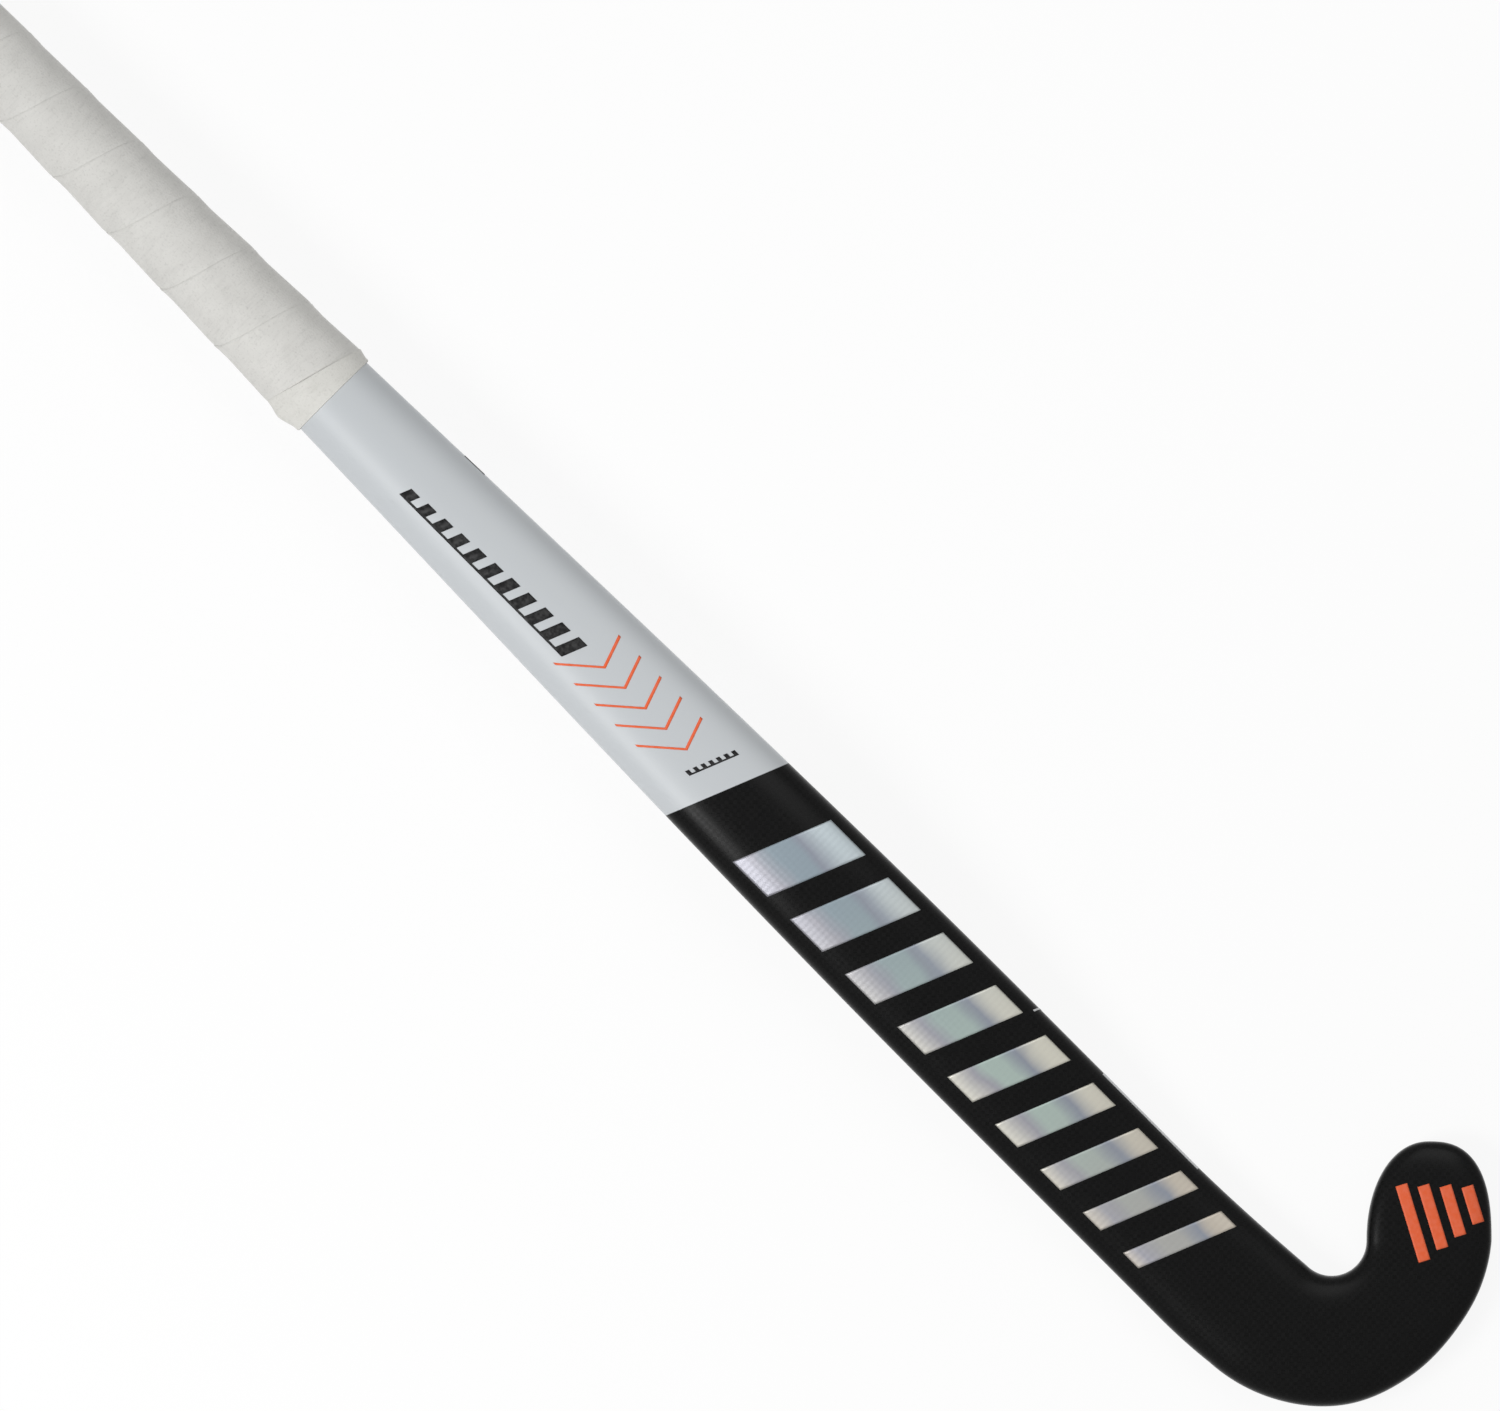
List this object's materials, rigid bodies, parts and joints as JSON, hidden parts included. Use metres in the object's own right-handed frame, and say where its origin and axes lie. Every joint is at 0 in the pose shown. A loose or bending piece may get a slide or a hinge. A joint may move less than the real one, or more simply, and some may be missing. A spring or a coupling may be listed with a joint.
{
  "type": "indoor hockey stick",
  "caption": "Hooked composite stick with a flat striking face, a rounded back, a slight bow and an oval handle wound with cushioned tape.",
  "frame": {"origin": "on the flat playing face, on the shaft's centre line, 60 mm from the end of the head", "axes": "+X from the butt to the head, +Y to the side that the hook opens on, +Z out of the rounded back; the stick lies on its flat face and its butt end"},
  "size_m": [0.9249, 0.1217, 0.0432],
  "materials": {
    "carbon": "satin lacquer over carbon cloth, painted pale silver-grey above a slanted line",
    "bridge_carbon": "bare moulded carbon laminate",
    "foam": "rigid polyurethane foam",
    "handle_foam": "soft damping foam",
    "plug_plastic": "moulded plastic",
    "cap_rubber": "matt off-white rubber",
    "underlay_film": "thin sticky film",
    "grip_tape": "matt cushioned polyurethane tape, warm off-white",
    "band_tape": "matt stretch tape, slightly yellower than the grip",
    "silver_foil": "silver transfer foil with faint rainbow tints",
    "orange_print": "satin orange transfer",
    "black_print": "satin black transfer",
    "white_print": "satin white transfer"
  },
  "bodies": {
    "root": {"carbon_shell": "carbon", "centre_bridge": "bridge_carbon", "head_core": "foam", "heel_side_core": "foam", "hook_side_core": "foam", "handle_core": "handle_foam", "butt_plug": "plug_plastic", "butt_cap": "cap_rubber", "grip_underlay": "underlay_film", "grip_tape": "grip_tape", "finishing_band": "band_tape", "foil_bar_1": "silver_foil", "foil_bar_2": "silver_foil", "foil_bar_3": "silver_foil", "foil_bar_4": "silver_foil", "foil_bar_5": "silver_foil", "foil_bar_6": "silver_foil", "foil_bar_7": "silver_foil", "foil_bar_8": "silver_foil", "foil_bar_9": "silver_foil", "chevron_1": "orange_print", "chevron_2": "orange_print", "chevron_3": "orange_print", "chevron_4": "orange_print", "chevron_5": "orange_print", "toe_bar_1": "orange_print", "toe_bar_2": "orange_print", "toe_bar_3": "orange_print", "toe_bar_4": "orange_print", "dash_scale": "black_print", "tick_scale": "black_print", "edge_bar_white": "white_print", "edge_mark": "white_print", "edge_bar_dark": "black_print"}
  },
  "joints": []
}
